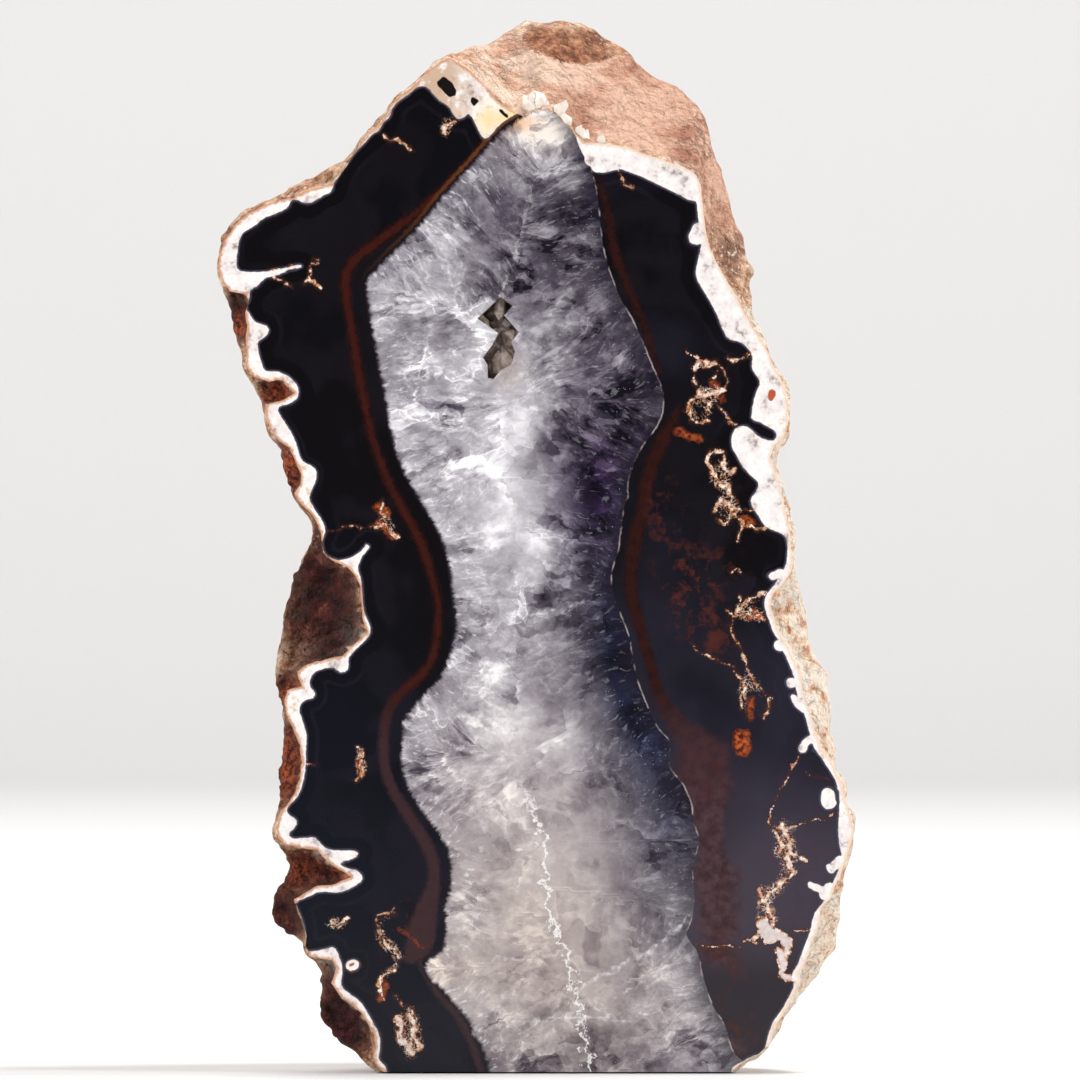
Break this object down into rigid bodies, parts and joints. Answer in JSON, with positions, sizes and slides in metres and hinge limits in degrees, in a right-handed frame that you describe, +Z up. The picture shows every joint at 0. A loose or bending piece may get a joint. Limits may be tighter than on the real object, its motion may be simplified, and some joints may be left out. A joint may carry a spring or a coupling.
{
  "type": "agate geode",
  "caption": "Standing half of an agate geode: flat polished face with banded agate round pale quartz, a crystal-lined hollow, rough rind behind and a sawn flat base.",
  "frame": {"origin": "on the sawn base, under the middle of the stone's bounding box", "axes": "+Z up along the tallest extent, -Y out of the polished face, +Y into the stone's thickness, +X to the right seen from the front"},
  "size_m": [0.1606, 0.0846, 0.2643],
  "materials": {
    "agate_geode": "polished on the sawn face, rough natural rind behind",
    "crystal_crust": "bright flat crystal faces"
  },
  "bodies": {
    "root": {"agate_geode": "agate_geode", "crystal_crust": "crystal_crust"}
  },
  "joints": []
}
